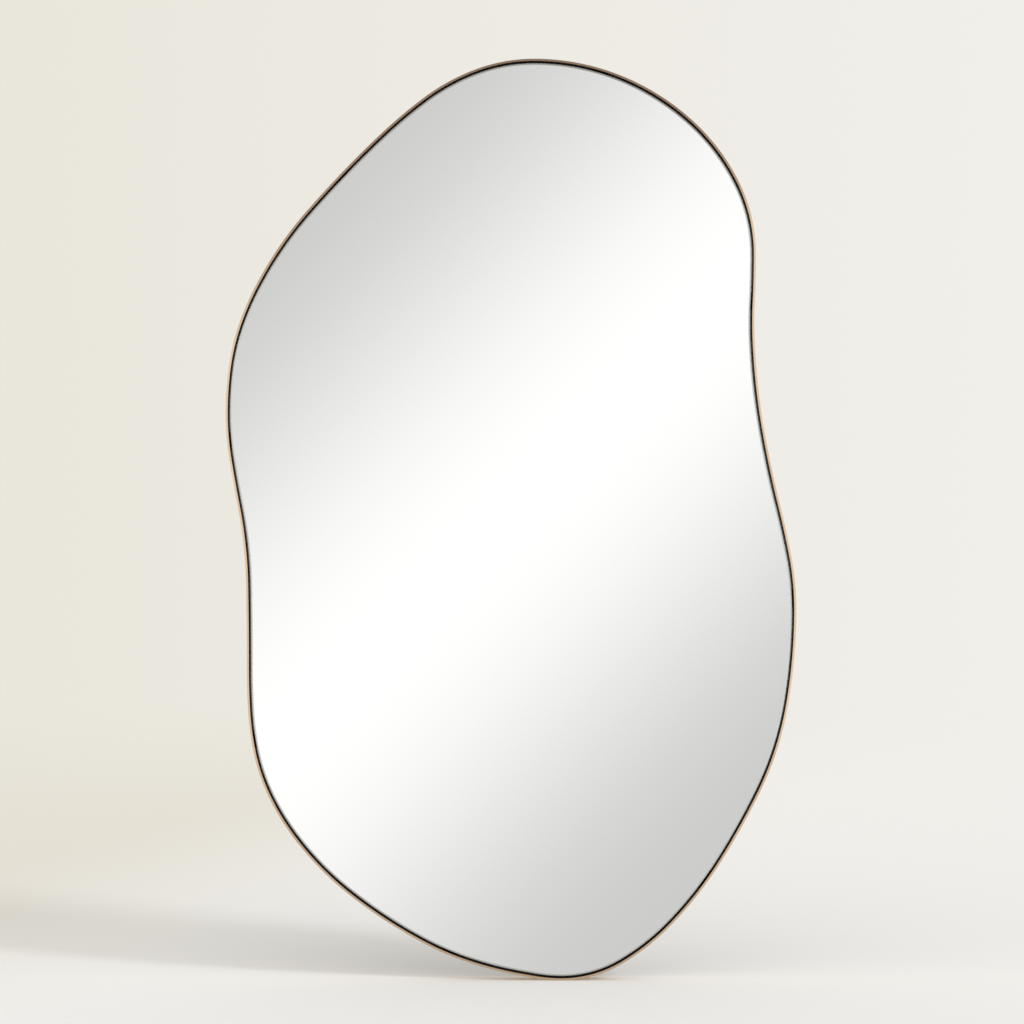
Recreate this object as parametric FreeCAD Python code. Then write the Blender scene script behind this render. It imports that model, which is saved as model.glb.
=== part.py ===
import FreeCAD, Part
import math
import os

# Freeform wall mirror in a thin metal band frame.
# Millimetres. +Z is up, the mirror faces -Y and the wall is the plane y = 0.
# The origin lies on the wall, midway between the two hanging points: X = 0 is the
# upright through the mirror's centre of area, so that it hangs level, and Z = 0 is
# the line on which the two wall hooks bear.

# ---------------------------------------------------------------- driving sizes

MIRROR_HEIGHT = 914.0          # lowest to highest point of the band
MIRROR_WIDTH = 566.0           # leftmost to rightmost point of the band
HANG_DROP = 264.0              # top of the band down to the hanging line

BAND_WALL = 2.5
BAND_EDGE_BREAK = 0.6          # broken front edges of the flat bar
BAND_WALL_GAP = 1.4            # rear edge of the band to the wall
BAND_OVERHANG = 2.2            # front edge of the band in front of the glass

GLASS_THICKNESS = 4.0
GLASS_SHADOW_GAP = 1.5         # dark gap between the glass and the band
GLASS_BEVEL_WIDTH = 2.0
GLASS_BEVEL_DEPTH = 0.6
FILM_THICKNESS = 0.2           # shatter film on the back of the glass
FILM_MARGIN = 1.0              # film stops short of the glass edge
TAPE_THICKNESS = 1.6
TAPE_WIDTH = 25.0
TAPE_COUNT = 6
TAPE_MARGIN = 28.0             # outline of the band to the nearest tape
BOARD_THICKNESS = 9.0
BOARD_GAP = 1.0                # board edge to the band

TAB_COUNT = 8
TAB_START = 70.0               # along the outline from its top to the first tab
TAB_WIDTH = 18.0
TAB_LENGTH = 14.0              # inwards from the band
TAB_THICKNESS = 1.6
TAB_CORNER = 6.0               # rounded corners of the inner end
TAB_HOLE_EDGE = 6.0            # hole centre to the tab's inner end
SCREW_SHANK_RADIUS = 1.75
SCREW_HEAD_RADIUS = 3.4
SCREW_HEAD_HEIGHT = 1.8
SCREW_HEAD_SIDE = 0.6          # upright part of the head's rim
SCREW_HEAD_FLAT = 2.2          # radius of the head's flat top
SCREW_TIP_LENGTH = 2.0
SCREW_TIP_COVER = 1.5          # board left in front of a screw's point
SCREW_HOLE_CLEARANCE = 0.25    # radial, where a screw passes through metal
PILOT_CLEARANCE = 0.05         # radial, where a screw sits in the board

HANGER_SPACING = 280.0         # centre to centre
STRAP_WIDTH = 16.0
STRAP_SHEET = 0.8              # one layer of the doubled strap
STRAP_LENGTH = 38.0            # ring pivot to the lower end
STRAP_CORNER = 4.0             # rounded lower corners
STRAP_FOLD_ANGLE = 60.0        # round the eye, from below, to where the outer layer leaves it
STRAP_NEAR_HOLE = 12.5         # ring pivot to the upper screw
STRAP_FAR_HOLE = 31.0          # ring pivot to the lower screw
WIRE_RADIUS = 1.3
WIRE_CORNER_RADIUS = 3.2       # bends of the ring beside its straight bar
RING_WIDTH = 26.0              # between the wire's centre lines
RING_SIDE = 6.0                # straight side between corner bend and bow
PIVOT_CLEARANCE = 0.08         # radial, wire in the strap's eye
RING_REST_GAP = 0.3            # wire to the face it leans on

BUMPER_RADIUS = 6.35
BUMPER_HEIGHT = 6.4
BUMPER_TAPER = 1.6             # broken rim of the rear face
BUMPER_INSET = 46.0            # outline of the band to the bumper's centre
BUMPER_LOW = 165.0             # lowest point of the band up to the lower pair
BUMPER_HIGH = 135.0            # top of the band down to the upper pair

# The outline as drawn from the front, clockwise from the top: a point and the
# direction in which the edge runs there, in degrees from +X. Two tangent arcs join
# each point to the next. X is measured from the middle and Z from the lowest point.
OUTLINE = [
    (23, 914, 0),       # crown
    (182, 851, -43),
    (243, 720, -90),    # right shoulder
    (242, 628, -87),    # right waist
    (267, 471, -76),
    (283, 368, -90),    # right hip, the widest point
    (247, 187, -116),
    (159, 55, -134),
    (50, 0, -180),      # toe, the lowest point
    (3, 6, -191),
    (-87, 37, -208),
    (-221, 149, -235),
    (-255, 225, -258),
    (-262, 310, -270),  # left hip
    (-271, 470, -259),  # left waist
    (-283, 563, -270),  # left cheek, the widest point
    (-270, 650, -289),
    (-235, 720, -303),
    (-163, 806, -314),
    (-87, 875, -323),
]

# ---------------------------------------------------------------- derived levels

BOARD_REAR = -BUMPER_HEIGHT
BOARD_FRONT = BOARD_REAR - BOARD_THICKNESS
FILM_REAR = BOARD_FRONT - TAPE_THICKNESS
GLASS_REAR = FILM_REAR - FILM_THICKNESS
GLASS_FRONT = GLASS_REAR - GLASS_THICKNESS
BAND_REAR = -BAND_WALL_GAP
BAND_FRONT = GLASS_FRONT - BAND_OVERHANG
TOP_Z = HANG_DROP
BOTTOM_Z = TOP_Z - MIRROR_HEIGHT

EYE_BORE = WIRE_RADIUS + PIVOT_CLEARANCE
EYE_RADIUS = EYE_BORE + STRAP_SHEET
EYE_Y = BOARD_REAR + EYE_RADIUS
BOW_RADIUS = RING_WIDTH / 2
RING_REACH = WIRE_CORNER_RADIUS + RING_SIDE + BOW_RADIUS    # pivot to the bow's wire
EYE_Z = WIRE_RADIUS - RING_REACH                            # hook bears at z = 0
RING_LEAN = math.degrees(math.asin((EYE_RADIUS - WIRE_RADIUS - RING_REST_GAP) / RING_REACH))
FOLDED_RISE = 2 * STRAP_SHEET + WIRE_RADIUS + RING_REST_GAP - EYE_RADIUS
RING_TRAVEL = 180.0 + RING_LEAN - math.degrees(math.asin(FOLDED_RISE / RING_REACH))

BACK = FreeCAD.Vector(0, 1, 0)      # towards the wall
RIGHT = FreeCAD.Vector(1, 0, 0)
SAME_LEVEL = 1e-6                   # closer than this is the same place


# ---------------------------------------------------------------- outline

def direction(heading):
    """Unit vector in the plane of the mirror."""
    angle = math.radians(heading)
    return FreeCAD.Vector(math.cos(angle), 0, math.sin(angle))


def heading_near(vector, guess):
    """Heading of a vector, in the turn that holds the guess."""
    heading = math.degrees(math.atan2(vector.z, vector.x))
    return heading + 360 * round((guess - heading) / 360)


def stretched_outline():
    """The drawn points and headings at the mirror's width and height."""
    xs = [x for x, z, heading in OUTLINE]
    zs = [z for x, z, heading in OUTLINE]
    wide = MIRROR_WIDTH / (max(xs) - min(xs))
    high = MIRROR_HEIGHT / (max(zs) - min(zs))
    stations = []
    for x, z, heading in OUTLINE:
        drawn = direction(heading)
        stretched = FreeCAD.Vector(drawn.x * wide, 0, drawn.z * high)
        place = FreeCAD.Vector(x * wide, 0, BOTTOM_Z + (z - min(zs)) * high)
        stations.append((place, heading_near(stretched, heading)))
    return stations


def biarc_join(start, start_heading, end, end_heading):
    """The point at which two tangent arcs from start to end meet."""
    leaving = direction(start_heading)
    arriving = direction(end_heading)
    chord = end - start
    along = chord.dot(leaving + arriving)
    spread = 2 * (1 - leaving.dot(arriving))
    reach = (math.sqrt(along ** 2 + spread * chord.dot(chord)) - along) / spread
    return (start + leaving * reach + end - arriving * reach) / 2


def outline_arcs(stations):
    """Arcs as (point, heading) at the start, middle and end of each."""
    arcs = []
    for index, (start, start_heading) in enumerate(stations):
        last = index == len(stations) - 1
        end, end_heading = stations[0 if last else index + 1]
        if last:
            end_heading -= 360
        join = biarc_join(start, start_heading, end, end_heading)
        join_heading = 2 * heading_near(join - start, start_heading) - start_heading
        for a, a_heading, b, b_heading in (
                (start, start_heading, join, join_heading),
                (join, join_heading, end, end_heading)):
            turn = math.radians(a_heading - b_heading)
            middle_heading = (a_heading + b_heading) / 2
            bulge = (b - a).Length / 2 * math.tan(turn / 4)
            middle = (a + b) / 2 + direction(middle_heading + 90) * bulge
            arcs.append(((a, a_heading), (middle, middle_heading), (b, b_heading)))
    return arcs


def outline_wire(inset, level=0.0):
    """The closed outline, moved inwards by inset, in the plane y = level."""
    edges = []
    for arc in ARCS:
        points = []
        for point, heading in arc:
            points.append(point - direction(heading + 90) * inset + BACK * level)
        edges.append(Part.Arc(*points).toShape())
    return Part.Wire(edges)


def outline_plate(inset, front, rear):
    """A plate of the outline between two levels."""
    return Part.Face(outline_wire(inset, rear)).extrude(BACK * (front - rear))


def outline_span(line_start, line_end, inset):
    """Bounding box of a straight line's stretch inside the inset outline."""
    face = Part.Face(outline_wire(inset))
    inside = Part.makeLine(line_start, line_end).common(face)
    return inside.BoundBox


def place_on_outline(length):
    """Point and heading at a length along the outline from its top."""
    for start, middle, end in ARCS:
        edge = Part.Arc(start[0], middle[0], end[0]).toShape()
        if length <= edge.Length:
            share = length / edge.Length
            heading = start[1] + (end[1] - start[1]) * share
            return edge.valueAt(edge.getParameterByLength(length)), heading
        length -= edge.Length
    raise ValueError("the length is more than the outline's")


def centred_outline():
    """Arcs of the outline with its centre of area on X = 0."""
    stations = stretched_outline()
    edges = []
    for start, middle, end in outline_arcs(stations):
        edges.append(Part.Arc(start[0], middle[0], end[0]).toShape())
    offset = Part.Face(Part.Wire(edges)).CenterOfMass.x
    moved = [(place - RIGHT * offset, heading) for place, heading in stations]
    return outline_arcs(moved)


# ---------------------------------------------------------------- frame, glass, board

def frame_band():
    """Flat bar bent to the outline and welded into a ring, front edges broken."""
    ring = outline_plate(0, BAND_FRONT, BAND_REAR).cut(
        outline_plate(BAND_WALL, BAND_FRONT, BAND_REAR))
    front_edges = []
    for edge in ring.Edges:
        box = edge.BoundBox
        if abs(box.YMin - BAND_FRONT) < SAME_LEVEL and abs(box.YMax - BAND_FRONT) < SAME_LEVEL:
            front_edges.append(edge)
    return ring.makeChamfer(BAND_EDGE_BREAK, front_edges)


def mirror_glass():
    """Glass pane with a narrow ground bevel round its front edge."""
    edge_inset = BAND_WALL + GLASS_SHADOW_GAP
    shoulder = GLASS_FRONT + GLASS_BEVEL_DEPTH
    body = outline_plate(edge_inset, shoulder, GLASS_REAR)
    bevel = Part.makeLoft([
        outline_wire(edge_inset, shoulder),
        outline_wire(edge_inset + GLASS_BEVEL_WIDTH, GLASS_FRONT)], True, True)
    return body.fuse(bevel).removeSplitter()


def safety_film():
    return outline_plate(BAND_WALL + GLASS_SHADOW_GAP + FILM_MARGIN, GLASS_REAR, FILM_REAR)


def tape_strips():
    """Upright strips of foam tape between the film and the board."""
    left, right = outline_extent()
    pitch = (right - left - 2 * TAPE_MARGIN) / TAPE_COUNT
    strips = []
    for index in range(TAPE_COUNT):
        middle = left + TAPE_MARGIN + pitch * (index + 0.5)
        low = BOTTOM_Z
        high = TOP_Z
        for x in (middle - TAPE_WIDTH / 2, middle + TAPE_WIDTH / 2):
            span = outline_span(FreeCAD.Vector(x, 0, BOTTOM_Z),
                                FreeCAD.Vector(x, 0, TOP_Z), TAPE_MARGIN)
            low = max(low, span.ZMin)
            high = min(high, span.ZMax)
        corner = FreeCAD.Vector(middle - TAPE_WIDTH / 2, FILM_REAR, low)
        strips.append(Part.makeBox(TAPE_WIDTH, TAPE_THICKNESS, high - low, corner))
    return strips


def outline_extent():
    """Least and greatest x of the band."""
    box = outline_wire(0).BoundBox
    return box.XMin, box.XMax


def backing_board(screw_places):
    """Board with a blind pilot hole behind every screw."""
    board = outline_plate(BAND_WALL + BOARD_GAP, BOARD_FRONT, BOARD_REAR)
    depth = BOARD_THICKNESS - SCREW_TIP_COVER
    for place in screw_places:
        mouth = FreeCAD.Vector(place.x, BOARD_REAR, place.z)
        hole = Part.makeCylinder(SCREW_SHANK_RADIUS + PILOT_CLEARANCE, depth, mouth, -BACK)
        board = board.cut(hole)
    return board


# ---------------------------------------------------------------- fasteners and bumpers

def wood_screw(place, seat_y):
    """Pan-headed screw, seated at seat_y, whose point stops inside the board."""
    tip_y = BOARD_FRONT + SCREW_TIP_COVER + PILOT_CLEARANCE
    outline = [
        (0, tip_y),
        (SCREW_SHANK_RADIUS, tip_y + SCREW_TIP_LENGTH),
        (SCREW_SHANK_RADIUS, seat_y),
        (SCREW_HEAD_RADIUS, seat_y),
        (SCREW_HEAD_RADIUS, seat_y + SCREW_HEAD_SIDE),
        (SCREW_HEAD_FLAT, seat_y + SCREW_HEAD_HEIGHT),
        (0, seat_y + SCREW_HEAD_HEIGHT),
        (0, tip_y),
    ]
    profile = Part.makePolygon([FreeCAD.Vector(radius, y, 0) for radius, y in outline])
    screw = Part.Face(profile).revolve(FreeCAD.Vector(0, 0, 0), BACK, 360)
    screw.translate(FreeCAD.Vector(place.x, 0, place.z))
    return screw


def tab_frame(index):
    """Where a tab meets the band's inner wall, and the direction inwards."""
    perimeter = outline_wire(0).Length
    point, heading = place_on_outline(TAB_START + perimeter * index / TAB_COUNT)
    inwards = direction(heading - 90)
    return point + inwards * BAND_WALL, inwards


def tab_screw_place(index):
    root, inwards = tab_frame(index)
    return root + inwards * (TAB_LENGTH - TAB_HOLE_EDGE)


def mounting_tab(index):
    """Flat lug welded to the band's inner wall, lying on the board's rear face."""
    root, inwards = tab_frame(index)
    side = inwards.cross(BACK)
    rear = BOARD_REAR + TAB_THICKNESS
    outer = root - inwards * BAND_WALL / 2
    inner = root + inwards * TAB_LENGTH
    shoulder = inner - inwards * TAB_CORNER
    half = side * (TAB_WIDTH / 2)
    flat = side * (TAB_WIDTH / 2 - TAB_CORNER)
    bend = (1 - math.cos(math.pi / 4)) * TAB_CORNER
    edges = [
        Part.makeLine(outer - half, shoulder - half),
        Part.Arc(shoulder - half, inner - inwards * bend - half + side * bend,
                 inner - flat).toShape(),
        Part.makeLine(inner - flat, inner + flat),
        Part.Arc(inner + flat, inner - inwards * bend + half - side * bend,
                 shoulder + half).toShape(),
        Part.makeLine(shoulder + half, outer + half),
        Part.makeLine(outer + half, outer - half),
    ]
    blank = Part.Face(Part.Wire(edges)).extrude(BACK * TAB_THICKNESS)
    blank.translate(BACK * BOARD_REAR)
    tab = blank.common(outline_plate(BAND_WALL, BOARD_REAR, rear))
    hole = Part.makeCylinder(SCREW_SHANK_RADIUS + SCREW_HOLE_CLEARANCE, TAB_THICKNESS,
                             tab_screw_place(index) + BACK * BOARD_REAR, BACK)
    return tab.cut(hole)


def bumper(place):
    """Rubber button stuck to the board, its rear face on the wall."""
    button = Part.makeCylinder(BUMPER_RADIUS, BUMPER_HEIGHT,
                               FreeCAD.Vector(place.x, BOARD_REAR, place.z), BACK)
    rim = [edge for edge in button.Edges
           if abs(edge.BoundBox.YMin) < SAME_LEVEL and edge.Closed]
    return button.makeChamfer(BUMPER_TAPER, rim)


def bumper_places():
    """Two pairs, each pair inset from the sides of the band at its own height."""
    places = []
    for z in (BOTTOM_Z + BUMPER_LOW, TOP_Z - BUMPER_HIGH):
        left, right = outline_extent()
        span = outline_span(FreeCAD.Vector(left, 0, z), FreeCAD.Vector(right, 0, z),
                            BUMPER_INSET)
        places.append(FreeCAD.Vector(span.XMin, 0, z))
        places.append(FreeCAD.Vector(span.XMax, 0, z))
    return places


# ---------------------------------------------------------------- hangers

def hanger_screw_places(x):
    return [FreeCAD.Vector(x, 0, EYE_Z - drop) for drop in (STRAP_NEAR_HOLE, STRAP_FAR_HOLE)]


def hanger_strap(x):
    """Doubled strip of sheet, folded round the ring's bar and screwed to the board."""
    thickness = 2 * STRAP_SHEET
    low = FreeCAD.Vector(x - STRAP_WIDTH / 2, BOARD_REAR, EYE_Z - STRAP_LENGTH)
    eye = FreeCAD.Vector(x - STRAP_WIDTH / 2, EYE_Y, EYE_Z)
    strip = Part.makeBox(STRAP_WIDTH, thickness, STRAP_LENGTH, low)
    lower_corners = []
    for edge in strip.Edges:
        box = edge.BoundBox
        if box.ZMax < low.z + SAME_LEVEL and box.YLength > STRAP_SHEET:
            lower_corners.append(edge)
    strip = strip.makeFillet(STRAP_CORNER, lower_corners)
    # the outer layer comes down from the eye to the strip along a tangent
    fold = math.radians(STRAP_FOLD_ANGLE)
    crest = FreeCAD.Vector(eye.x, EYE_Y + EYE_RADIUS * math.sin(fold),
                           EYE_Z - EYE_RADIUS * math.cos(fold))
    foot_z = crest.z - (crest.y - (BOARD_REAR + thickness)) * math.tan(fold)
    ramp = Part.Face(Part.makePolygon([
        FreeCAD.Vector(eye.x, BOARD_REAR, EYE_Z),
        FreeCAD.Vector(eye.x, EYE_Y, EYE_Z),
        crest,
        FreeCAD.Vector(eye.x, BOARD_REAR + thickness, foot_z),
        FreeCAD.Vector(eye.x, BOARD_REAR, foot_z),
        FreeCAD.Vector(eye.x, BOARD_REAR, EYE_Z)])).extrude(RIGHT * STRAP_WIDTH)
    curl = Part.makeCylinder(EYE_RADIUS, STRAP_WIDTH, eye, RIGHT)
    bore = Part.makeCylinder(EYE_BORE, STRAP_WIDTH, eye, RIGHT)
    strap = strip.fuse([ramp, curl]).cut(bore).removeSplitter()
    for place in hanger_screw_places(x):
        strap = strap.cut(Part.makeCylinder(
            SCREW_SHANK_RADIUS + SCREW_HOLE_CLEARANCE, thickness,
            place + BACK * BOARD_REAR, BACK))
    return strap


def hanger_ring(x):
    """D-shaped wire ring, up and leaning on the board."""
    pivot = FreeCAD.Vector(x, EYE_Y, EYE_Z)
    half = RING_WIDTH / 2
    bar = half - WIRE_CORNER_RADIUS
    side_top = WIRE_CORNER_RADIUS + RING_SIDE
    bend = WIRE_CORNER_RADIUS * (1 - math.cos(math.pi / 4))
    shape = [
        ("line", [(-bar, 0), (bar, 0)]),
        ("arc", [(bar, 0), (half - bend, bend), (half, WIRE_CORNER_RADIUS)]),
        ("line", [(half, WIRE_CORNER_RADIUS), (half, side_top)]),
        ("arc", [(half, side_top), (0, side_top + BOW_RADIUS), (-half, side_top)]),
        ("line", [(-half, side_top), (-half, WIRE_CORNER_RADIUS)]),
        ("arc", [(-half, WIRE_CORNER_RADIUS), (-half + bend, bend), (-bar, 0)]),
    ]
    edges = []
    for kind, points in shape:
        places = [pivot + FreeCAD.Vector(across, 0, up) for across, up in points]
        if kind == "arc":
            edges.append(Part.Arc(*places).toShape())
        else:
            edges.append(Part.makeLine(*places))
    section = Part.Wire(Part.makeCircle(WIRE_RADIUS, pivot - RIGHT * bar, RIGHT))
    ring = Part.Wire(edges).makePipeShell([section], True, False)
    ring.rotate(pivot, RIGHT, RING_LEAN)
    return ring


# ---------------------------------------------------------------- the whole mirror

ARCS = centred_outline()


def build():
    nodes = {
        "frame_band": frame_band(),
        "mirror_glass": mirror_glass(),
        "safety_film": safety_film(),
    }
    for number, strip in enumerate(tape_strips(), 1):
        nodes["tape_strip_%d" % number] = strip

    tab_screws = []
    screw_places = []
    for index in range(TAB_COUNT):
        nodes["mounting_tab_%d" % (index + 1)] = mounting_tab(index)
        place = tab_screw_place(index)
        screw_places.append(place)
        tab_screws.append(wood_screw(place, BOARD_REAR + TAB_THICKNESS))
    nodes["tab_screws"] = Part.makeCompound(tab_screws)

    for name, x in (("left", -HANGER_SPACING / 2), ("right", HANGER_SPACING / 2)):
        places = hanger_screw_places(x)
        screw_places += places
        screws = [wood_screw(place, BOARD_REAR + 2 * STRAP_SHEET) for place in places]
        nodes["hanger_strap_" + name] = hanger_strap(x)
        nodes["hanger_ring_" + name] = hanger_ring(x)
        nodes["hanger_screws_" + name] = Part.makeCompound(screws)

    nodes["backing_board"] = backing_board(screw_places)
    for number, place in enumerate(bumper_places(), 1):
        nodes["bumper_%d" % number] = bumper(place)
    return nodes


def main():
    os.makedirs("parts", exist_ok=True)
    for name, shape in build().items():
        shape.exportStep("parts/%s.step" % name)
        print("%-22s solids %d  volume %.1f  valid %s" % (
            name, len(shape.Solids), shape.Volume, shape.isValid()))
    left, right = outline_extent()
    print("outline x %.2f to %.2f, z %.2f to %.2f" % (left, right, BOTTOM_Z, TOP_Z))
    for place in bumper_places():
        print("bumper at x %.2f, z %.2f" % (place.x, place.z))
    print("ring pivot y %.3f z %.3f, lean %.2f, travel %.2f degrees" % (
        EYE_Y, EYE_Z, RING_LEAN, RING_TRAVEL))


main()
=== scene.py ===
import math

import bmesh
import bpy
from mathutils import Matrix, Vector


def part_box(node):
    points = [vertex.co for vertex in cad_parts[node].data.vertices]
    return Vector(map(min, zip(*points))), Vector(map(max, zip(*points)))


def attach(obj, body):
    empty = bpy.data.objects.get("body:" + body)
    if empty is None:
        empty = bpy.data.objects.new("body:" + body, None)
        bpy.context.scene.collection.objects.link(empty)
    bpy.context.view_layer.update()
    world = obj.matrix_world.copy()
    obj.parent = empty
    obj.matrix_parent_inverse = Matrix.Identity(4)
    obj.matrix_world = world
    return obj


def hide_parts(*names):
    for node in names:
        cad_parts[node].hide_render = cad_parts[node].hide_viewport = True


# Freeform wall mirror, standing upright on a pale floor. Metres; the mirror faces -Y.

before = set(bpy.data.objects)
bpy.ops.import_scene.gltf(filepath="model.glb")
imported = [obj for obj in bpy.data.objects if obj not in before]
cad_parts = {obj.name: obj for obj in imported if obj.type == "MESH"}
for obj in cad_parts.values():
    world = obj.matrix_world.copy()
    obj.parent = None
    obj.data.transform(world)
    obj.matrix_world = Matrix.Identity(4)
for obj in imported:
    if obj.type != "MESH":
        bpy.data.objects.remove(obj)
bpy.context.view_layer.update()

MM = 0.001
FLOOR_Z = -650 * MM             # the mirror stands on its toe

# ---------------------------------------------------------------- sizes of the real pieces

BAND_WALL = 2.5 * MM
BAND_SLOPE = 24                 # degrees by which the front edge leans back outwards
BAND_OUTER_ROUND = 0.5 * MM
BAND_INNER_ROUND = 0.3 * MM
BAND_REAR_ROUND = 0.4 * MM
ROUND_STEPS = 6                 # facets of a rounded corner
UNSHADED_CORNER_STEPS = 1                  # of the inner front corner, the facets left as bright metal, outside the painted shade
GLASS_INSET = 4.0 * MM          # outline of the band to the glass
BEVEL_WIDTH = 2.0 * MM
BEVEL_DEPTH = 0.6 * MM
SHADE_LAP = 0.25 * MM           # reach on to the bevel of the painted shade on the glass edge
OUTLINE_STEP = 2.5 * MM         # facets along the bar

TAB_COUNT = 8
TAB_START = 70 * MM
TAB_LENGTH = 14 * MM
TAB_HOLE_EDGE = 6 * MM
HANGER_X = 140 * MM
PIVOT_Z = -20.9 * MM
STRAP_HOLES = (12.5 * MM, 31 * MM)

SHANK_RADIUS = 1.75 * MM
POINT_LENGTH = 2 * MM
HEAD_RADIUS = 3.4 * MM
HEAD_HEIGHT = 1.8 * MM
HEAD_ROUND = 1.3 * MM
CROSS_REACH = 1.7 * MM          # cross recess: half its length, half its width, depth
CROSS_HALF = 0.36 * MM
CROSS_DEPTH = 1.2 * MM
CROSS_TAPER = 0.7
SCREW_STEPS = 32
BUMPER_COUNT = 4
BUMPER_ROUND = 1.6 * MM
BUMPER_STEPS = 48

MERGE_DISTANCE = 0.0005 * MM
CREASE = 32                     # edges that turn by more degrees are sharp
PANE_CREASE = 8

# The outline from the front, clockwise from the top: x, z from the lowest point and the
# direction of the edge in degrees. Two tangent arcs join each point to the next.
OUTLINE = [
    (0.023, 0.914, 0), (0.182, 0.851, -43), (0.243, 0.720, -90), (0.242, 0.628, -87),
    (0.267, 0.471, -76), (0.283, 0.368, -90), (0.247, 0.187, -116), (0.159, 0.055, -134),
    (0.050, 0.000, -180), (0.003, 0.006, -191), (-0.087, 0.037, -208), (-0.221, 0.149, -235),
    (-0.255, 0.225, -258), (-0.262, 0.310, -270), (-0.271, 0.470, -259),
    (-0.283, 0.563, -270), (-0.270, 0.650, -289), (-0.235, 0.720, -303),
    (-0.163, 0.806, -314), (-0.087, 0.875, -323),
]


# ---------------------------------------------------------------- outline

def direction(heading):
    """Unit vector in the plane of the mirror, as (x, z)."""
    return Vector((math.cos(math.radians(heading)), math.sin(math.radians(heading))))


def heading_near(vector, guess):
    """Heading of a vector, in the turn that holds the guess."""
    heading = math.degrees(math.atan2(vector.y, vector.x))
    return heading + 360 * round((guess - heading) / 360)


def biarc_join(start, start_heading, end, end_heading):
    """The point at which two tangent arcs from start to end meet."""
    leaving = direction(start_heading)
    arriving = direction(end_heading)
    chord = end - start
    along = chord.dot(leaving + arriving)
    spread = 2 * (1 - leaving.dot(arriving))
    reach = (math.sqrt(along ** 2 + spread * chord.dot(chord)) - along) / spread
    return (start + leaving * reach + end - arriving * reach) / 2


def arc(start, heading, end, end_heading):
    """One arc: its first heading, its centre, its radius and its clockwise turn in radians.
    Where the outline bends the other way, both the radius and the turn are negative."""
    turn = math.radians(heading - end_heading)
    radius = (end - start).length / (2 * math.sin(turn / 2))
    return heading, start + direction(heading - 90) * radius, radius, turn


def outline_arcs():
    """The arcs all round the band, fitted to the band's box."""
    low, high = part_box("frame_band")
    left = min(x for x, z, heading in OUTLINE)
    places = [Vector((low[0] + x - left, low[2] + z)) for x, z, heading in OUTLINE]
    arcs = []
    for index, start in enumerate(places):
        heading = OUTLINE[index][2]
        following = (index + 1) % len(places)
        end = places[following]
        end_heading = OUTLINE[following][2] - (360 if following == 0 else 0)
        join = biarc_join(start, heading, end, end_heading)
        join_heading = 2 * heading_near(join - start, heading) - heading
        arcs.append(arc(start, heading, join, join_heading))
        arcs.append(arc(join, join_heading, end, end_heading))
    return arcs


ARCS = outline_arcs()
OUTLINE_LENGTH = sum(radius * turn for heading, centre, radius, turn in ARCS)


def point_on_arc(heading, centre, radius, turn, share):
    """Point and outward normal at a share of an arc from 0 to 1."""
    outward = direction(heading - math.degrees(turn) * share + 90)
    return centre + outward * radius, outward


def place_on_outline(length):
    """Point and outward normal at a length along the outline from its top."""
    for heading, centre, radius, turn in ARCS:
        if length <= radius * turn:
            break
        length -= radius * turn
    return point_on_arc(heading, centre, radius, turn, length / (radius * turn))


# ---------------------------------------------------------------- materials

def colour(code):
    """Linear colour of an sRGB hex code."""
    channels = [int(code[place:place + 2], 16) / 255 for place in (1, 3, 5)]
    linear = [c / 12.92 if c <= 0.04045 else ((c + 0.055) / 1.055) ** 2.4 for c in channels]
    return (*linear, 1.0)


def add_node(tree, kind, inputs, **settings):
    """A node with its settings, its values and its links."""
    made = tree.nodes.new(kind)
    for name, value in settings.items():
        setattr(made, name, value)
    for key, value in inputs.items():
        if isinstance(value, bpy.types.NodeSocket):
            tree.links.new(value, made.inputs[key])
        else:
            made.inputs[key].default_value = value
    return made


def bare_material(name):
    """A material with no nodes yet, its tree, and its object coordinates in metres."""
    material = bpy.data.materials.new(name)
    material.use_nodes = True
    tree = material.node_tree
    tree.nodes.clear()
    return material, tree, add_node(tree, "ShaderNodeTexCoord", {}).outputs["Object"]


def surfaced(material, tree, inputs):
    """The material, its surface given these values and links."""
    shader = add_node(tree, "ShaderNodeBsdfPrincipled", inputs)
    add_node(tree, "ShaderNodeOutputMaterial", {"Surface": shader.outputs[0]})
    return material


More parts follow.
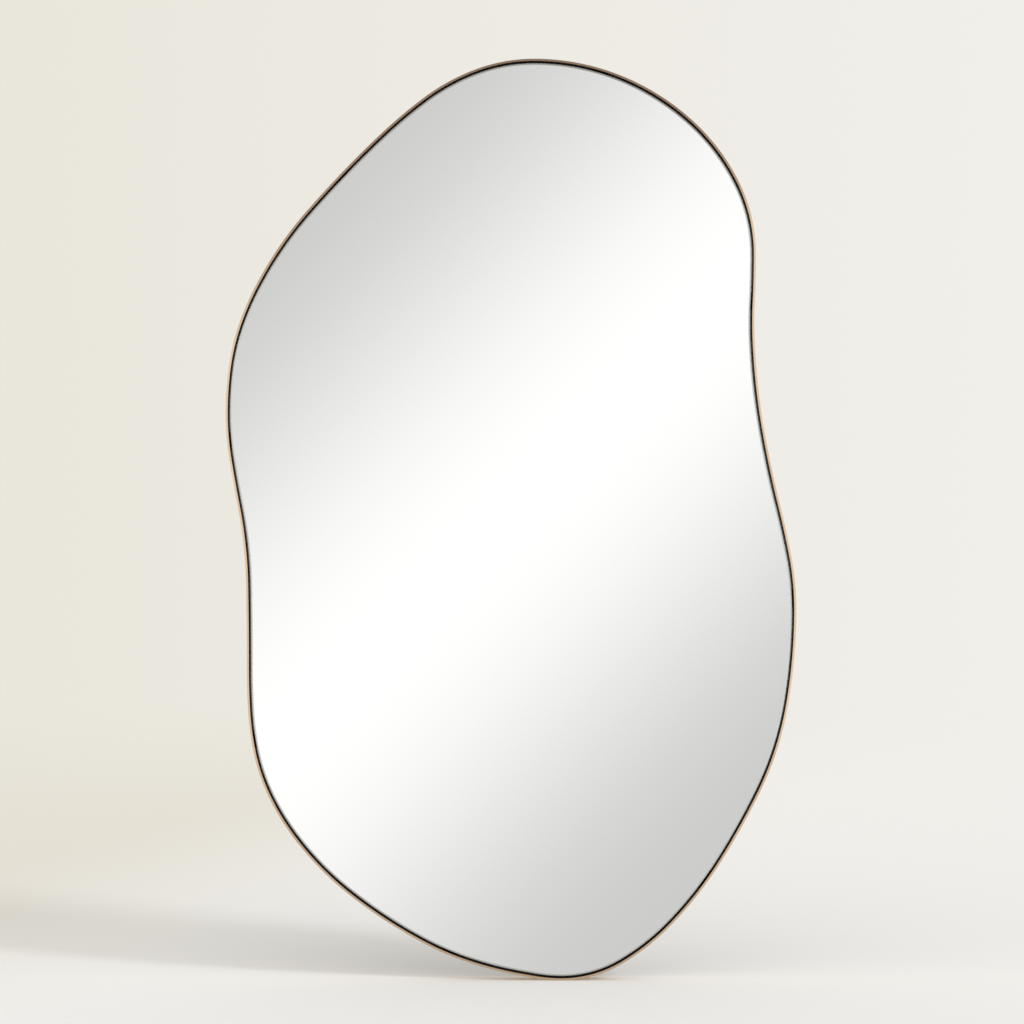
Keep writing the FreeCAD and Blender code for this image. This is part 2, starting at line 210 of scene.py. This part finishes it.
def brushed_brass_plate():
    """Flat steel bar plated with brass, drawn lengthwise through an abrasive belt and
    lacquered: a soft gold sheen across fine lines, with broad clouds of tone. The lines of
    such a belt are 0.05 mm apart, and are drawn 0.2 mm apart so as to show."""
    material, tree, place = bare_material("brushed_brass_plate")
    along = add_node(tree, "ShaderNodeUVMap", {}, uv_map="along_and_round")
    drawn = add_node(tree, "ShaderNodeMapping", {
        "Vector": along.outputs[0], "Scale": (1 / (40 * MM), 1 / (0.2 * MM), 1)})
    lines = add_node(tree, "ShaderNodeTexNoise", {
        "Vector": drawn.outputs[0], "Scale": 1.0, "Detail": 2.0}).outputs["Fac"]
    clouds = add_node(tree, "ShaderNodeTexNoise", {
        "Vector": place, "Scale": 1 / (110 * MM), "Detail": 3.0})
    share = add_node(tree, "ShaderNodeMapRange", {
        "Value": clouds.outputs["Fac"], "From Min": 0.35, "From Max": 0.65})
    tone = add_node(tree, "ShaderNodeMix", {
        "Factor": share.outputs[0], 6: colour("#D7BC9E"), 7: colour("#E3CCAF")},
        data_type="RGBA")
    rough = add_node(tree, "ShaderNodeMapRange", {
        "Value": lines, "To Min": 0.26, "To Max": 0.38})
    relief = add_node(tree, "ShaderNodeBump", {
        "Height": lines, "Distance": 0.01 * MM, "Strength": 1.0})
    tangent = add_node(tree, "ShaderNodeTangent", {}, direction_type="UV_MAP",
                       uv_map="along_and_round")
    return surfaced(material, tree, {
        "Base Color": tone.outputs[2], "Metallic": 1.0, "Roughness": rough.outputs[0],
        "Anisotropic": 0.7, "Anisotropic Rotation": 0.25,
        "Tangent": tangent.outputs[0], "Normal": relief.outputs[0]})


def gap_painted_shade():
    """Painted shade on the bar's inner wall and most of its inner front corner, standing in
    for the shadow in the gap round the glass: matt, nearly black and a little brown, in soft
    patches of 16 mm."""
    material, tree, place = bare_material("gap_painted_shade")
    patches = add_node(tree, "ShaderNodeTexNoise", {
        "Vector": place, "Scale": 1 / (16 * MM), "Detail": 3.0})
    tone = add_node(tree, "ShaderNodeMix", {
        "Factor": patches.outputs["Fac"], 6: colour("#1A0E09"), 7: colour("#2E1B12")},
        data_type="RGBA")
    rough = add_node(tree, "ShaderNodeMapRange", {
        "Value": patches.outputs["Fac"], "To Min": 0.45, "To Max": 0.65})
    return surfaced(material, tree, {
        "Base Color": tone.outputs[2], "Roughness": rough.outputs[0],
        "Specular IOR Level": 0.2})


def silvered_glass():
    """Float glass silvered behind and wiped clean: a nearly perfect mirror, with a faint
    haze in patches of 170 mm."""
    material, tree, place = bare_material("silvered_glass")
    haze = add_node(tree, "ShaderNodeTexNoise", {
        "Vector": place, "Scale": 1 / (170 * MM), "Detail": 3.0})
    rough = add_node(tree, "ShaderNodeMapRange", {
        "Value": haze.outputs["Fac"], "From Min": 0.4, "From Max": 0.7, "To Max": 0.012})
    return surfaced(material, tree, {
        "Base Color": colour("#F7F8F8"), "Metallic": 1.0, "Roughness": rough.outputs[0]})


def ground_glass_bevel():
    """Bevel of the pane, ground on a stone and half polished: greyer than the face, faintly
    green, partly mirror and partly frost, with wheel marks 1.1 mm long."""
    material, tree, place = bare_material("ground_glass_bevel")
    marks = add_node(tree, "ShaderNodeTexNoise", {
        "Vector": place, "Scale": 1 / (1.1 * MM), "Detail": 3.0})
    rough = add_node(tree, "ShaderNodeMapRange", {
        "Value": marks.outputs["Fac"], "To Min": 0.18, "To Max": 0.30})
    return surfaced(material, tree, {
        "Base Color": colour("#D6DAD8"), "Metallic": 0.5, "Roughness": rough.outputs[0]})


def glass_edge_painted_shade():
    """Cut and seamed edge of the pane and the outer strip of its bevel, painted nearly black
    as shade of the gap round the glass: uneven at 1.4 mm."""
    material, tree, place = bare_material("glass_edge_painted_shade")
    marks = add_node(tree, "ShaderNodeTexNoise", {
        "Vector": place, "Scale": 1 / (1.4 * MM), "Detail": 3.0})
    tone = add_node(tree, "ShaderNodeMix", {
        "Factor": marks.outputs["Fac"], 6: colour("#14100D"), 7: colour("#201914")},
        data_type="RGBA")
    rough = add_node(tree, "ShaderNodeMapRange", {
        "Value": marks.outputs["Fac"], "To Min": 0.3, "To Max": 0.5})
    return surfaced(material, tree, {
        "Base Color": tone.outputs[2], "Roughness": rough.outputs[0],
        "Specular IOR Level": 0.2})


def mottled(name, grain_size, tones, roughness, relief, values):
    """A finish whose two close tones, two roughnesses and fine relief share one grain."""
    material, tree, place = bare_material(name)
    grain = add_node(tree, "ShaderNodeTexNoise", {
        "Vector": place, "Scale": 1 / grain_size, "Detail": 3.0}).outputs["Fac"]
    tone = add_node(tree, "ShaderNodeMix", {
        "Factor": grain, 6: colour(tones[0]), 7: colour(tones[1])}, data_type="RGBA")
    rough = add_node(tree, "ShaderNodeMapRange", {
        "Value": grain, "To Min": roughness[0], "To Max": roughness[1]})
    skin = add_node(tree, "ShaderNodeBump", {
        "Height": grain, "Distance": relief, "Strength": 1.0})
    return surfaced(material, tree, {
        "Base Color": tone.outputs[2], "Roughness": rough.outputs[0],
        "Normal": skin.outputs[0], **values})


BAND_METAL = brushed_brass_plate()
# painted shade of the gap, on the band's inner wall
BAND_GAP_SHADE = gap_painted_shade()
MIRROR_FACE = silvered_glass()
BEVEL = ground_glass_bevel()
# painted shade of the gap, on the glass edge and the bevel's outer strip
GLASS_EDGE_SHADE = glass_edge_painted_shade()
# medium-density fibreboard, sprayed matt black: a soft orange peel of 1.5 mm
BOARD = mottled("sprayed_fibreboard", 1.5 * MM, ("#171615", "#211F1E"), (0.52, 0.70),
                0.03 * MM, {})
# polyester film, rolled on to the back of the glass: smooth and slightly cloudy at 8 mm
FILM = mottled("polyester_film", 8 * MM, ("#A3A6A8", "#B0B3B5"), (0.35, 0.45),
               0.005 * MM, {"IOR": 1.6})
# blown polyethylene foam: chalky, pricked with cells of half a millimetre
TAPE = mottled("polyethylene_foam", 0.5 * MM, ("#D2D2C9", "#E2E2DA"), (0.80, 0.95),
               0.08 * MM, {})
# steel lugs plated with the band and left unbrushed: dull gold, clouded by welding at 4.5 mm
LUG_STEEL = mottled("dull_brass_plate", 4.5 * MM, ("#A58B63", "#BFA67C"), (0.36, 0.50),
                    0.01 * MM, {"Metallic": 1.0})
# screws, barrel plated with zinc: blue-white, with a crystal grain drawn at 0.7 mm to show
ZINC = mottled("zinc_plate", 0.7 * MM, ("#B9BDC1", "#CBCED1"), (0.22, 0.36),
               0.004 * MM, {"Metallic": 1.0})
# stamped straps and drawn wire, nickel plated: warm white and bright, with the tumbling's
# small dints drawn at 0.8 mm to show
NICKEL = mottled("nickel_plate", 0.8 * MM, ("#C0BBB0", "#D1CCC2"), (0.18, 0.28),
                 0.003 * MM, {"Metallic": 1.0})
# moulded rubber: dead matt black, with the mould's spark texture of 0.9 mm
RUBBER = mottled("moulded_rubber", 0.9 * MM, ("#121212", "#1B1B1B"), (0.70, 0.85),
                 0.04 * MM, {"IOR": 1.52})


# ---------------------------------------------------------------- pieces

def finished(bm, name, nodes, materials, crease=CREASE):
    """A mesh made into a piece of the mirror that stands for some of the frame's nodes,
    smooth but for the edges that turn by more than the crease, in degrees."""
    bmesh.ops.recalc_face_normals(bm, faces=bm.faces)
    mesh = bpy.data.meshes.new(name)
    bm.to_mesh(mesh)
    bm.free()
    for polygon in mesh.polygons:
        polygon.use_smooth = True
    mesh.set_sharp_from_angle(angle=math.radians(crease))
    for material in materials:
        mesh.materials.append(material)
    piece = bpy.data.objects.new(name, mesh)
    bpy.context.scene.collection.objects.link(piece)
    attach(piece, "mirror")
    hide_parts(*nodes)


def corner(centre, radius, first, turn=90):
    """Points of a section's rounded corner, clockwise from the angle first in degrees."""
    return [centre + direction(first - turn * step / ROUND_STEPS) * radius
            for step in range(ROUND_STEPS + 1)]


def is_vert(item):
    return isinstance(item, bmesh.types.BMVert)


def swept(section):
    """A section of (inset, y) points spun about the centre of each arc of the outline in
    turn, as the bar is bent, with its layers: the point's number and the length run."""
    bm = bmesh.new()
    number = bm.verts.layers.int.new("number")
    run = bm.verts.layers.float.new("run")

    def seat(verts, point, outward):
        for vert in verts:
            inset, y = section[vert[number]]
            place = point - outward * inset
            vert.co = (place.x, y, place.y)

    moving = [bm.verts.new() for point in section]
    for index, vert in enumerate(moving):
        vert[number] = index
    seat(moving, *point_on_arc(*ARCS[0], 0))
    moving += [bm.edges.new(pair) for pair in zip(moving, moving[1:])]
    length = 0.0
    for heading, centre, radius, turn in ARCS:
        steps = max(2, math.ceil(radius * turn / OUTLINE_STEP))
        for step in range(steps):
            moving = bmesh.ops.spin(
                bm, geom=moving, cent=(centre.x, 0, centre.y), axis=(0, 1, 0),
                dvec=(0, 0, 0), angle=turn / steps, steps=1)["geom_last"]
            length += radius * turn / steps
            for vert in filter(is_vert, moving):
                vert[run] = length
        seat(filter(is_vert, moving), *point_on_arc(heading, centre, radius, turn, 1))
    return bm, number, run


def closed_up(bm):
    """The ends of a sweep or a spin joined where they meet."""
    bmesh.ops.remove_doubles(bm, verts=bm.verts, dist=MERGE_DISTANCE)


def make_band():
    """Flat bar bent edgewise round the mirror, its front edge leaning back outwards. Painted
    shade of the gap covers its inner wall and turns on to the inner front corner."""
    low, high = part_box("frame_band")
    front, rear = low[1], high[1]
    outer, inner, sawn = BAND_OUTER_ROUND, BAND_INNER_ROUND, BAND_REAR_ROUND
    slope = math.radians(BAND_SLOPE)
    across = (BAND_WALL - inner - outer) * math.sin(slope)
    back = inner + (across + outer - inner) / math.cos(slope)
    section = [
        *corner(Vector((sawn, rear - sawn)), sawn, 180),
        *corner(Vector((BAND_WALL - sawn, rear - sawn)), sawn, 90),
        *corner(Vector((BAND_WALL - inner, front + inner)), inner, 0, 90 + BAND_SLOPE),
        *corner(Vector((outer, front + back)), outer, -90 - BAND_SLOPE, 90 - BAND_SLOPE),
    ]
    section.append(section[0])
    bm, number, run = swept(section)
    # the inner wall and all but the last facets of the inner front corner take the painted
    # shade
    inner_wall = 2 * ROUND_STEPS + 1
    unshaded_from = inner_wall + 1 + ROUND_STEPS - UNSHADED_CORNER_STEPS
    round_lengths = [0.0]
    for start, end in zip(section, section[1:]):
        round_lengths.append(round_lengths[-1] + (end - start).length)
    layer = bm.loops.layers.uv.new("along_and_round")
    for face in bm.faces:
        if inner_wall <= min(vert[number] for vert in face.verts) < unshaded_from:
            face.material_index = 1
        for loop in face.loops:
            loop[layer].uv = (loop.vert[run], round_lengths[loop.vert[number]])
    closed_up(bm)
    finished(bm, "gold_band", ["frame_band"], [BAND_METAL, BAND_GAP_SHADE])


def make_pane():
    """Silvered pane with a narrow ground bevel round its front edge."""
    low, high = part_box("mirror_glass")
    front, rear = low[1], high[1]
    bm, number, run = swept([
        Vector((GLASS_INSET, rear)),
        Vector((GLASS_INSET, front + BEVEL_DEPTH)),
        Vector((GLASS_INSET + SHADE_LAP, front + BEVEL_DEPTH * (1 - SHADE_LAP / BEVEL_WIDTH))),
        Vector((GLASS_INSET + BEVEL_WIDTH, front)),
    ])
    # the edge and the strip of bevel next to it take the painted shade of the gap
    for face in bm.faces:
        face.material_index = 2 if min(vert[number] for vert in face.verts) < 2 else 1
    closed_up(bm)
    rims = [edge for edge in bm.edges if edge.is_boundary]
    for face in bmesh.ops.holes_fill(bm, edges=rims)["faces"]:
        face.material_index = 0
    finished(bm, "mirror_pane", ["mirror_glass"],
             [MIRROR_FACE, BEVEL, GLASS_EDGE_SHADE], crease=PANE_CREASE)


def spun(bm, profile, place, steps):
    """A profile of (radius, y) points spun about an axis along Y through the place."""
    verts = [bm.verts.new((place.x + radius, y, place.y)) for radius, y in profile]
    edges = [bm.edges.new(pair) for pair in zip(verts, verts[1:])]
    bmesh.ops.spin(bm, geom=verts + edges, cent=(place.x, 0, place.y), axis=(0, 1, 0),
                   dvec=(0, 0, 0), angle=math.tau, steps=steps, use_merge=True)
    closed_up(bm)


def add_screw(bm, place, tip_y, top_y):
    """Pan-headed screw with a cross recess in its flat top."""
    seat_y = top_y - HEAD_HEIGHT
    centre = Vector((HEAD_RADIUS - HEAD_ROUND, top_y - HEAD_ROUND))
    shoulder = corner(centre, HEAD_ROUND, 90)[::-1]
    spun(bm, [(0, tip_y), (SHANK_RADIUS, tip_y + POINT_LENGTH), (SHANK_RADIUS, seat_y),
              (HEAD_RADIUS, seat_y), *shoulder], place, SCREW_STEPS)
    rim = [edge for edge in bm.edges if edge.is_boundary]

    reach, half = CROSS_REACH, CROSS_HALF
    corners = [(half, reach), (half, half), (reach, half)]
    corners += [(z, -x) for x, z in corners] + [(-x, -z) for x, z in corners] + [
        (-z, x) for x, z in corners]
    mouth = [bm.verts.new((place.x + x, top_y, place.y + z)) for x, z in corners]
    cross = [bm.edges.new((mouth[index - 1], mouth[index])) for index in range(len(mouth))]
    bmesh.ops.triangle_fill(bm, edges=rim + cross, use_beauty=True)
    made = bmesh.ops.extrude_edge_only(bm, edges=cross)["geom"]
    floor = [item for item in made if is_vert(item)]
    bmesh.ops.translate(bm, verts=floor, vec=(0, -CROSS_DEPTH, 0))
    bmesh.ops.scale(bm, verts=floor, vec=(CROSS_TAPER, 1, CROSS_TAPER),
                    space=Matrix.Translation((-place.x, 0, -place.y)))
    bottom = [edge for edge in bm.edges if edge.is_boundary]
    bmesh.ops.triangle_fill(bm, edges=bottom, use_beauty=True)


def make_screws():
    """The lugs' eight screws and the two of each hanger."""
    low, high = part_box("tab_screws")
    bm = bmesh.new()
    for index in range(TAB_COUNT):
        point, outward = place_on_outline(TAB_START + OUTLINE_LENGTH * index / TAB_COUNT)
        place = point - outward * (BAND_WALL + TAB_LENGTH - TAB_HOLE_EDGE)
        add_screw(bm, place, low[1], high[1])
    finished(bm, "lug_screws", ["tab_screws"], [ZINC])
    for side, x in (("left", -HANGER_X), ("right", HANGER_X)):
        low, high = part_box("hanger_screws_" + side)
        bm = bmesh.new()
        for drop in STRAP_HOLES:
            add_screw(bm, Vector((x, PIVOT_Z - drop)), low[1], high[1])
        finished(bm, "strap_screws_" + side,
                 ["hanger_screws_" + side], [ZINC])


def make_bumpers():
    """Moulded rubber buttons with a rounded rim."""
    for number in range(1, BUMPER_COUNT + 1):
        node = "bumper_%d" % number
        low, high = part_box(node)
        place = Vector(((low[0] + high[0]) / 2, (low[2] + high[2]) / 2))
        radius = (high[0] - low[0]) / 2
        centre = Vector((radius - BUMPER_ROUND, high[1] - BUMPER_ROUND))
        rim = corner(centre, BUMPER_ROUND, 90)[::-1]
        bm = bmesh.new()
        spun(bm, [(0, low[1]), (radius, low[1]), *rim, (0, high[1])], place, BUMPER_STEPS)
        finished(bm, "rubber_button_%d" % number, [node], [RUBBER])


def dress_frame_nodes():
    """Finishes of the nodes that are shown as they are."""
    finishes = {
        "backing_board": BOARD, "safety_film": FILM, "tape_strip": TAPE,
        "mounting_tab": LUG_STEEL, "hanger_strap": NICKEL, "hanger_ring": NICKEL,
    }
    for name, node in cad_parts.items():
        for start, material in finishes.items():
            if name.startswith(start):
                node.data.materials.clear()
                node.data.materials.append(material)


# ---------------------------------------------------------------- room and light

FLOOR_RADIUS = 6.0
FLOOR_FADE = (0.8, 4.5)         # from the mirror to where the floor starts and ends fading
FLOOR_BACK_LEFT = (-0.95, 0.3, 0)
FLOOR_PAINTED_SHADE = (0.3, 1.0)        # along that way, from the plain tone to the painted shade of the light falling off

# directions are parts of a unit vector, and strengths are shares of a white room's light
GLOW_WAY = (0.707, 0, -0.707)   # across the diagonal bands of light
GLOW_REACH = 0.13               # from the middle of a band of light to the next dim one's
GLOW_SWING = 0.22
GLOW_LEVEL = 0.87
OVERHEAD = (0.22, 0.58)
OVERHEAD_STRENGTH = 0.36
UNDERFOOT = (-0.58, -0.18)
UNDERFOOT_STRENGTH = 0.72
BESIDE = (0.15, 0.50)
BESIDE_STRENGTH = 1.25
WALL_EDGE = 0.17                # the picture's left and right edges
FILL_STRENGTH = 0.84

KEY_STRENGTH = 0.68
KEY_ANGLE = 12                  # degrees across the light as seen from the mirror
KEY_COLOUR = (0.97, 0.99, 1.0)
KEY_FROM = (1.0, -0.75, 0.85)

CAMERA_PLACE = (-0.0029, -3.0234, -0.1855)
LENS = 106.4
SENSOR_WIDTH = 36


def make_floor():
    """A pale floor that fades into the background far from the mirror, with painted shade that
    darkens it towards the back left, where the light falls off.
    """
    bm = bmesh.new()
    bmesh.ops.create_circle(bm, cap_ends=True, segments=96, radius=FLOOR_RADIUS)
    mesh = bpy.data.meshes.new("pale_floor")
    bm.to_mesh(mesh)
    bm.free()
    floor = bpy.data.objects.new("pale_floor", mesh)
    floor.location = (0, 0, FLOOR_Z)
    bpy.context.scene.collection.objects.link(floor)
    floor.visible_glossy = False
    material, tree, place = bare_material("pale_floor_painted_falloff")
    spread = add_node(tree, "ShaderNodeVectorMath", {0: place}, operation="LENGTH")
    fade = add_node(tree, "ShaderNodeMapRange", {
        "Value": spread.outputs["Value"],
        "From Min": FLOOR_FADE[0], "From Max": FLOOR_FADE[1],
        "To Min": 1.0, "To Max": 0.0}, interpolation_type="SMOOTHSTEP")
    back_left = add_node(tree, "ShaderNodeVectorMath", {0: place, 1: FLOOR_BACK_LEFT},
                         operation="DOT_PRODUCT")
    share = add_node(tree, "ShaderNodeMapRange", {
        "Value": back_left.outputs["Value"],
        "From Min": FLOOR_PAINTED_SHADE[0], "From Max": FLOOR_PAINTED_SHADE[1]},
        interpolation_type="SMOOTHSTEP")
    # painted shade: the floor's colour darkens towards the back left
    tone = add_node(tree, "ShaderNodeMix", {
        "Factor": share.outputs[0], 6: colour("#F6F8FB"), 7: colour("#EAE9E4")},
        data_type="RGBA")
    mesh.materials.append(surfaced(material, tree, {
        "Base Color": tone.outputs[2], "Roughness": 0.9, "Specular IOR Level": 0.0,
        "Alpha": fade.outputs[0]}))


def make_world():
    """Warm off-white room. Reflections see soft diagonal bands of light in front of the
    mirror, bright walls beside it, and a brown dimness overhead and a lesser one underfoot.
    Light that the mirror throws on the floor comes from the plain fill."""
    world = bpy.data.worlds.new("room")
    bpy.context.scene.world = world
    world.use_nodes = True
    tree = world.node_tree
    tree.nodes.clear()
    ray = add_node(tree, "ShaderNodeLightPath", {})
    way = add_node(tree, "ShaderNodeTexCoord", {}).outputs["Generated"]
    parts = add_node(tree, "ShaderNodeSeparateXYZ", {0: way})

    slope = add_node(tree, "ShaderNodeVectorMath", {0: way, 1: GLOW_WAY},
                     operation="DOT_PRODUCT")
    phase = add_node(tree, "ShaderNodeMath", {
        0: slope.outputs["Value"], 1: math.pi / GLOW_REACH}, operation="MULTIPLY")
    wave = add_node(tree, "ShaderNodeMath", {0: phase.outputs[0]}, operation="COSINE")
    bands = add_node(tree, "ShaderNodeMath", {
        0: wave.outputs[0], 1: GLOW_SWING, 2: GLOW_LEVEL}, operation="MULTIPLY_ADD")
    above = add_node(tree, "ShaderNodeMapRange", {
        "Value": parts.outputs["Z"], "From Min": OVERHEAD[0], "From Max": OVERHEAD[1],
        "To Min": 1.0, "To Max": OVERHEAD_STRENGTH})
    below = add_node(tree, "ShaderNodeMapRange", {
        "Value": parts.outputs["Z"], "From Min": UNDERFOOT[0], "From Max": UNDERFOOT[1],
        "To Min": UNDERFOOT_STRENGTH, "To Max": 1.0})
    sideways = add_node(tree, "ShaderNodeMath", {0: parts.outputs["X"]}, operation="ABSOLUTE")
    beside = add_node(tree, "ShaderNodeMapRange", {
        "Value": sideways.outputs[0], "From Min": BESIDE[0], "From Max": BESIDE[1],
        "To Min": 1.0, "To Max": BESIDE_STRENGTH})
    dim = add_node(tree, "ShaderNodeMath", {0: above.outputs[0], 1: below.outputs[0]},
                   operation="MULTIPLY")
    around = add_node(tree, "ShaderNodeMath", {0: dim.outputs[0], 1: beside.outputs[0]},
                      operation="MULTIPLY")
    seen = add_node(tree, "ShaderNodeMath", {0: bands.outputs[0], 1: around.outputs[0]},
                    operation="MULTIPLY")
    warmth = add_node(tree, "ShaderNodeMix", {
        "Factor": dim.outputs[0], 6: colour("#EFCDB8"), 7: colour("#FFFEFD")},
        data_type="RGBA")
    reflected = add_node(tree, "ShaderNodeBackground", {
        "Color": warmth.outputs[2], "Strength": seen.outputs[0]})

    across = add_node(tree, "ShaderNodeMapRange", {
        "Value": parts.outputs["X"], "From Min": -WALL_EDGE, "From Max": WALL_EDGE})
    wall_tone = add_node(tree, "ShaderNodeMix", {
        "Factor": across.outputs[0], 6: colour("#E9E6DC"), 7: colour("#F1EFEA")},
        data_type="RGBA")
    wall = add_node(tree, "ShaderNodeBackground", {
        "Color": wall_tone.outputs[2], "Strength": 1.0})
    fill = add_node(tree, "ShaderNodeBackground", {
        "Color": colour("#FFFAF1"), "Strength": FILL_STRENGTH})
    unscattered = add_node(tree, "ShaderNodeMath", {0: ray.outputs["Diffuse Depth"], 1: 0.5},
                           operation="LESS_THAN")
    mirrored = add_node(tree, "ShaderNodeMath", {
        0: ray.outputs["Is Glossy Ray"], 1: unscattered.outputs[0]}, operation="MULTIPLY")
    lit = add_node(tree, "ShaderNodeMixShader", {
        0: mirrored.outputs[0], 1: fill.outputs[0], 2: reflected.outputs[0]})
    direct = add_node(tree, "ShaderNodeMath", {
        0: ray.outputs["Is Camera Ray"], 1: ray.outputs["Is Transmission Ray"]},
        operation="MAXIMUM")
    room = add_node(tree, "ShaderNodeMixShader", {
        0: direct.outputs[0], 1: lit.outputs[0], 2: wall.outputs[0]})
    add_node(tree, "ShaderNodeOutputWorld", {"Surface": room.outputs[0]})


def make_key_light():
    """One soft key from the right, in front and above. The metal doesn't mirror it."""
    lamp = bpy.data.lights.new("key", "SUN")
    lamp.energy = KEY_STRENGTH
    lamp.angle = math.radians(KEY_ANGLE)
    lamp.color = KEY_COLOUR
    key = bpy.data.objects.new("key", lamp)
    key.rotation_euler = Vector(KEY_FROM).to_track_quat("Z", "Y").to_euler()
    key.visible_glossy = False
    bpy.context.scene.collection.objects.link(key)


def make_camera():
    """Level with the middle of the picture, 3 m in front of the band's front edge."""
    data = bpy.data.cameras.new("camera")
    data.sensor_width = SENSOR_WIDTH
    data.lens = LENS
    camera = bpy.data.objects.new("camera", data)
    camera.location = CAMERA_PLACE
    camera.rotation_euler = (math.radians(90), 0, 0)
    bpy.context.scene.collection.objects.link(camera)
    bpy.context.scene.camera = camera


make_camera()
bpy.context.scene.view_settings.view_transform = "Standard"
make_band()
make_pane()
make_screws()
make_bumpers()
dress_frame_nodes()
make_floor()
make_world()
make_key_light()
